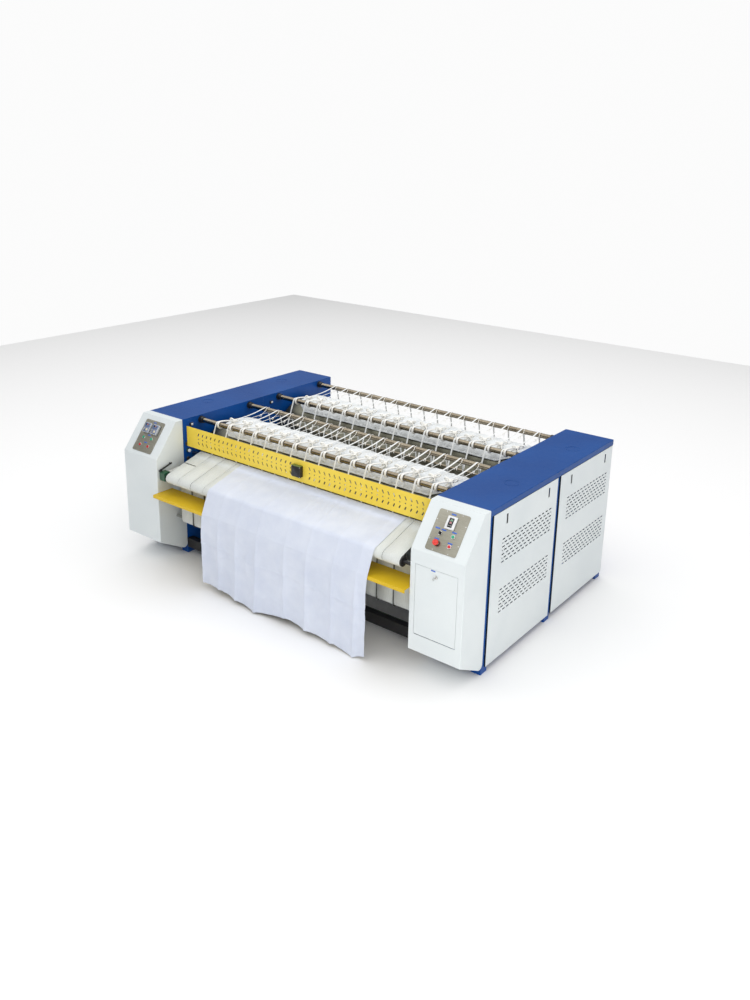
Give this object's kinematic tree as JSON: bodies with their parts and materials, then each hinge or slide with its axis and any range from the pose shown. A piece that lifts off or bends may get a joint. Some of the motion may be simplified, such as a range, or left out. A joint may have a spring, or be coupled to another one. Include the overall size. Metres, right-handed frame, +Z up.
{
  "type": "flatwork ironer",
  "caption": "Twin-drum flatwork ironer with belt feed table, tilting finger guard, guide tapes, padded drum blankets and two control cabinets",
  "frame": {"origin": "centre of the footprint, at floor level", "axes": "+X to the operator's right, -Y to the feed side, +Z up"},
  "size_m": [3.45, 2.3044, 1.23],
  "materials": {
    "blue_paint": "satin blue powder coat",
    "white_paint": "satin white powder coat",
    "yellow_paint": "satin yellow powder coat",
    "black_paint": "black paint",
    "green_paint": "dark green machine paint",
    "grey_paint": "grey machine paint",
    "motor_white": "white paint",
    "plate_steel": "brushed stainless plate",
    "polished_steel": "polished tube",
    "drum_steel": "ground steel",
    "roller_steel": "turned steel",
    "bearing_iron": "painted casting",
    "chain_steel": "oiled steel",
    "screw_steel": "plated",
    "black_plastic": "matte",
    "instrument_plastic": "gloss",
    "panel_black": "matte",
    "green_button": "gloss",
    "red_button": "gloss",
    "red_stop": "gloss",
    "belt_cloth": "woven ironing belt",
    "tape_cloth": "woven cotton tape",
    "tie_cloth": "twisted cotton tie",
    "blanket_cloth": "padded cotton cloth",
    "linen_cloth": "plain cotton sheet",
    "heater_steel": "heat-tinted steel"
  },
  "bodies": {
    "machine": {"belt_guide_hooks": "black_paint", "blanket_ties": "tie_cloth", "control_box_left": "white_paint", "control_box_right": "white_paint", "control_plate_left": "plate_steel", "control_plate_right": "plate_steel", "cross_beams": "black_paint", "drive_chain": "chain_steel", "drum_bearings": "bearing_iron", "drum_blanket_front": "blanket_cloth", "drum_blanket_rear": "blanket_cloth", "drum_heaters": "heater_steel", "electrical_plate": "panel_black", "exhaust_fans": "grey_paint", "feed_gearbox": "green_paint", "feed_motor": "motor_white", "feed_shelf": "yellow_paint", "guard_hinges": "grey_paint", "guide_rods": "polished_steel", "guide_tapes": "tape_cloth", "ironing_belts": "belt_cloth", "linen_sheet": "linen_cloth", "main_motor": "grey_paint", "panel_fixings": "screw_steel", "panel_instruments": "instrument_plastic", "rod_bushings": "black_plastic", "side_frame_left": "blue_paint", "side_frame_right": "blue_paint", "side_panel_front_left": "white_paint", "side_panel_front_right": "white_paint", "side_panel_rear_left": "white_paint", "side_panel_rear_right": "white_paint", "top_cover_front_left": "blue_paint", "top_cover_front_right": "blue_paint", "top_cover_rear_left": "blue_paint", "top_cover_rear_right": "blue_paint", "torque_arm": "black_paint"},
    "front_drum": {"drum_front": "drum_steel", "drum_sprocket_front": "chain_steel"},
    "rear_drum": {"drum_rear": "drum_steel", "drum_sprocket_rear": "chain_steel"},
    "motor_pinion": {"motor_sprocket": "chain_steel"},
    "nose": {"nose_roller": "black_paint"},
    "entry": {"entry_roller": "roller_steel"},
    "transfer": {"transfer_roller": "roller_steel"},
    "exit": {"exit_roller": "roller_steel"},
    "return": {"return_roller": "roller_steel"},
    "tension": {"tension_roller": "roller_steel"},
    "guard": {"finger_guard": "yellow_paint", "guard_switch_box": "black_plastic"},
    "door": {"control_door": "white_paint"},
    "lock": {"door_lock": "screw_steel"},
    "start_left_a": {"start_button_left_a": "green_button"},
    "start_left_b": {"start_button_left_b": "green_button"},
    "start_right": {"start_button_right": "green_button"},
    "stop_left_a": {"stop_button_left_a": "red_button"},
    "stop_left_b": {"stop_button_left_b": "red_button"},
    "stop_right": {"stop_button_right": "red_button"},
    "stop_mushroom": {"emergency_stop": "red_stop"},
    "selector": {"selector_switch": "black_plastic"}
  },
  "joints": [
    {"name": "front_drum_spin", "type": "hinge", "parent": "machine", "child": "front_drum", "pos_m": [0, -0.2827, 0.73], "axis": [1, 0, 0], "continuous": true},
    {"name": "rear_drum_spin", "type": "hinge", "parent": "machine", "child": "rear_drum", "pos_m": [0, 0.6823, 0.73], "axis": [1, 0, 0], "continuous": true},
    {"name": "motor_spin", "type": "hinge", "parent": "machine", "child": "motor_pinion", "pos_m": [0, 0.1998, 0.25], "axis": [1, 0, 0], "continuous": true},
    {"name": "nose_spin", "type": "hinge", "parent": "machine", "child": "nose", "pos_m": [0, -1.0227, 0.8], "axis": [1, 0, 0], "continuous": true},
    {"name": "entry_spin", "type": "hinge", "parent": "machine", "child": "entry", "pos_m": [0, -0.6757, 0.9141], "axis": [1, 0, 0], "continuous": true},
    {"name": "transfer_spin", "type": "hinge", "parent": "machine", "child": "transfer", "pos_m": [0, 0.1998, 0.86], "axis": [1, 0, 0], "continuous": true},
    {"name": "exit_spin", "type": "hinge", "parent": "machine", "child": "exit", "pos_m": [0, 1.1103, 0.655], "axis": [1, 0, 0], "continuous": true},
    {"name": "return_spin", "type": "hinge", "parent": "machine", "child": "return", "pos_m": [0, 1.0223, 0.215], "axis": [1, 0, 0], "continuous": true},
    {"name": "tension_spin", "type": "hinge", "parent": "machine", "child": "tension", "pos_m": [0, -0.8777, 0.39], "axis": [1, 0, 0], "continuous": true},
    {"name": "guard_tilt", "type": "hinge", "parent": "machine", "child": "guard", "pos_m": [0, -0.73945, 1.012], "axis": [1, 0, 0], "range_deg": [0, 70]},
    {"name": "door_drop", "type": "hinge", "parent": "machine", "child": "door", "pos_m": [1.5095, -1.0637, 0.336], "axis": [1, 0, 0], "range_deg": [0, 90]},
    {"name": "lock_turn", "type": "hinge", "parent": "door", "child": "lock", "pos_m": [1.5095, -1.0727, 0.797], "axis": [0, -1, 0], "range_deg": [-90, 0]},
    {"name": "start_left_a_press", "type": "slide", "parent": "machine", "child": "start_left_a", "axis": [0, 0.7889, -0.6145], "range_m": [0, 0.004], "stiffness_N_per_m": 400},
    {"name": "start_left_b_press", "type": "slide", "parent": "machine", "child": "start_left_b", "axis": [0, 0.7889, -0.6145], "range_m": [0, 0.004], "stiffness_N_per_m": 400},
    {"name": "start_right_press", "type": "slide", "parent": "machine", "child": "start_right", "axis": [0, 0.7889, -0.6145], "range_m": [0, 0.004], "stiffness_N_per_m": 400},
    {"name": "stop_left_a_press", "type": "slide", "parent": "machine", "child": "stop_left_a", "axis": [0, 0.7889, -0.6145], "range_m": [0, 0.004], "stiffness_N_per_m": 400},
    {"name": "stop_left_b_press", "type": "slide", "parent": "machine", "child": "stop_left_b", "axis": [0, 0.7889, -0.6145], "range_m": [0, 0.004], "stiffness_N_per_m": 400},
    {"name": "stop_right_press", "type": "slide", "parent": "machine", "child": "stop_right", "axis": [0, 0.7889, -0.6145], "range_m": [0, 0.004], "stiffness_N_per_m": 400},
    {"name": "stop_mushroom_press", "type": "slide", "parent": "machine", "child": "stop_mushroom", "axis": [0, 0.7889, -0.6145], "range_m": [0, 0.004], "stiffness_N_per_m": 400},
    {"name": "selector_turn", "type": "hinge", "parent": "machine", "child": "selector", "pos_m": [1.467, -0.97729, 1.06749], "axis": [0, -0.7889, 0.6145], "range_deg": [-45, 45]}
  ],
  "couplings": [
    {"joint": "rear_drum_spin", "follows": "front_drum_spin", "ratio": 1},
    {"joint": "motor_spin", "follows": "front_drum_spin", "ratio": 2.2353},
    {"joint": "nose_spin", "follows": "front_drum_spin", "ratio": -10.125},
    {"joint": "entry_spin", "follows": "front_drum_spin", "ratio": -15},
    {"joint": "transfer_spin", "follows": "front_drum_spin", "ratio": -12.656},
    {"joint": "exit_spin", "follows": "front_drum_spin", "ratio": -15},
    {"joint": "return_spin", "follows": "front_drum_spin", "ratio": -12.656},
    {"joint": "tension_spin", "follows": "front_drum_spin", "ratio": -12.656}
  ]
}
